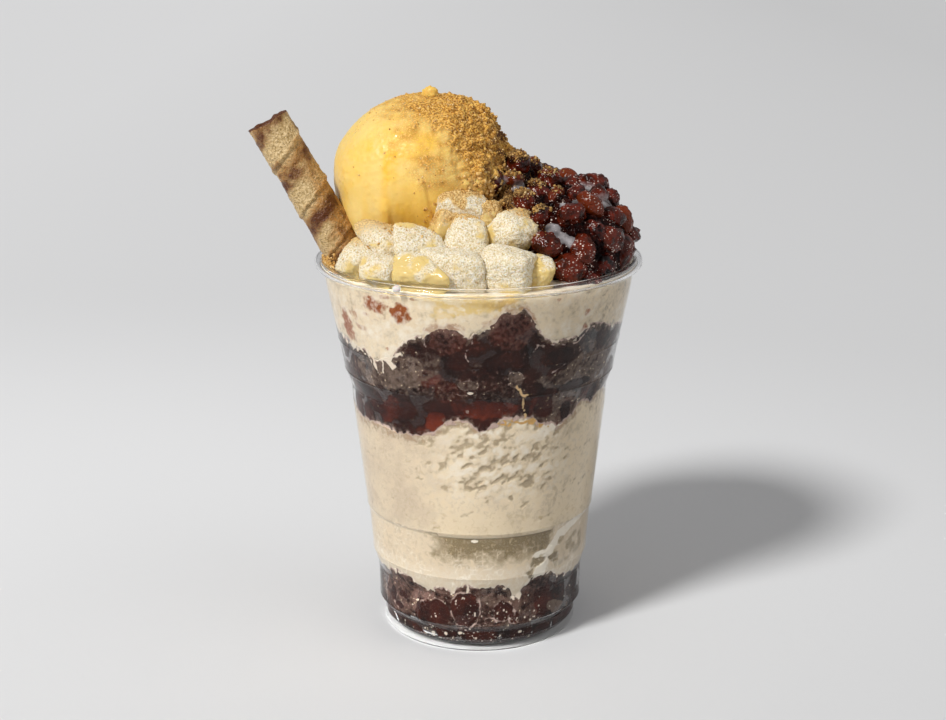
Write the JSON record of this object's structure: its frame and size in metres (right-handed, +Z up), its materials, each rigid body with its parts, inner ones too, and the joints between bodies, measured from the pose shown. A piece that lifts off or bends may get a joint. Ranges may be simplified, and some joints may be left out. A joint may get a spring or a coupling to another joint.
{
  "type": "cup bingsu",
  "caption": "Milk shaved ice layered with sweet red beans in a clear tapered cup, heaped with beans, soft rice cakes, a ball of ice cream and a rolled wafer.",
  "frame": {"origin": "middle of the cup's flat underside, on the cup's axis, where the cup stands", "axes": "+Z up along the cup's axis; -Y is the front, with the rice cakes; -X is the side that the wafer leans to"},
  "size_m": [0.1156, 0.098, 0.1658],
  "materials": {
    "clear_cup": "gloss",
    "red_bean": "gloss",
    "milk_ice": "satin",
    "ice_cream": "satin",
    "wafer": "matte",
    "rice_cake": "matte"
  },
  "bodies": {
    "root": {"cup": "clear_cup", "beans_bottom": "red_bean", "beans_upper": "red_bean", "bean_heap": "red_bean", "ice_bottom": "milk_ice", "ice_middle": "milk_ice", "ice_upper": "milk_ice", "scoop": "ice_cream", "wafer": "wafer", "rice_cake_1": "rice_cake", "rice_cake_2": "rice_cake", "rice_cake_3": "rice_cake", "rice_cake_4": "rice_cake", "rice_cake_5": "rice_cake", "rice_cake_6": "rice_cake", "rice_cake_7": "rice_cake", "rice_cake_8": "rice_cake", "rice_cake_9": "rice_cake", "rice_cake_10": "rice_cake", "rice_cake_11": "rice_cake", "rice_cake_12": "rice_cake", "rice_cake_13": "rice_cake"}
  },
  "joints": []
}
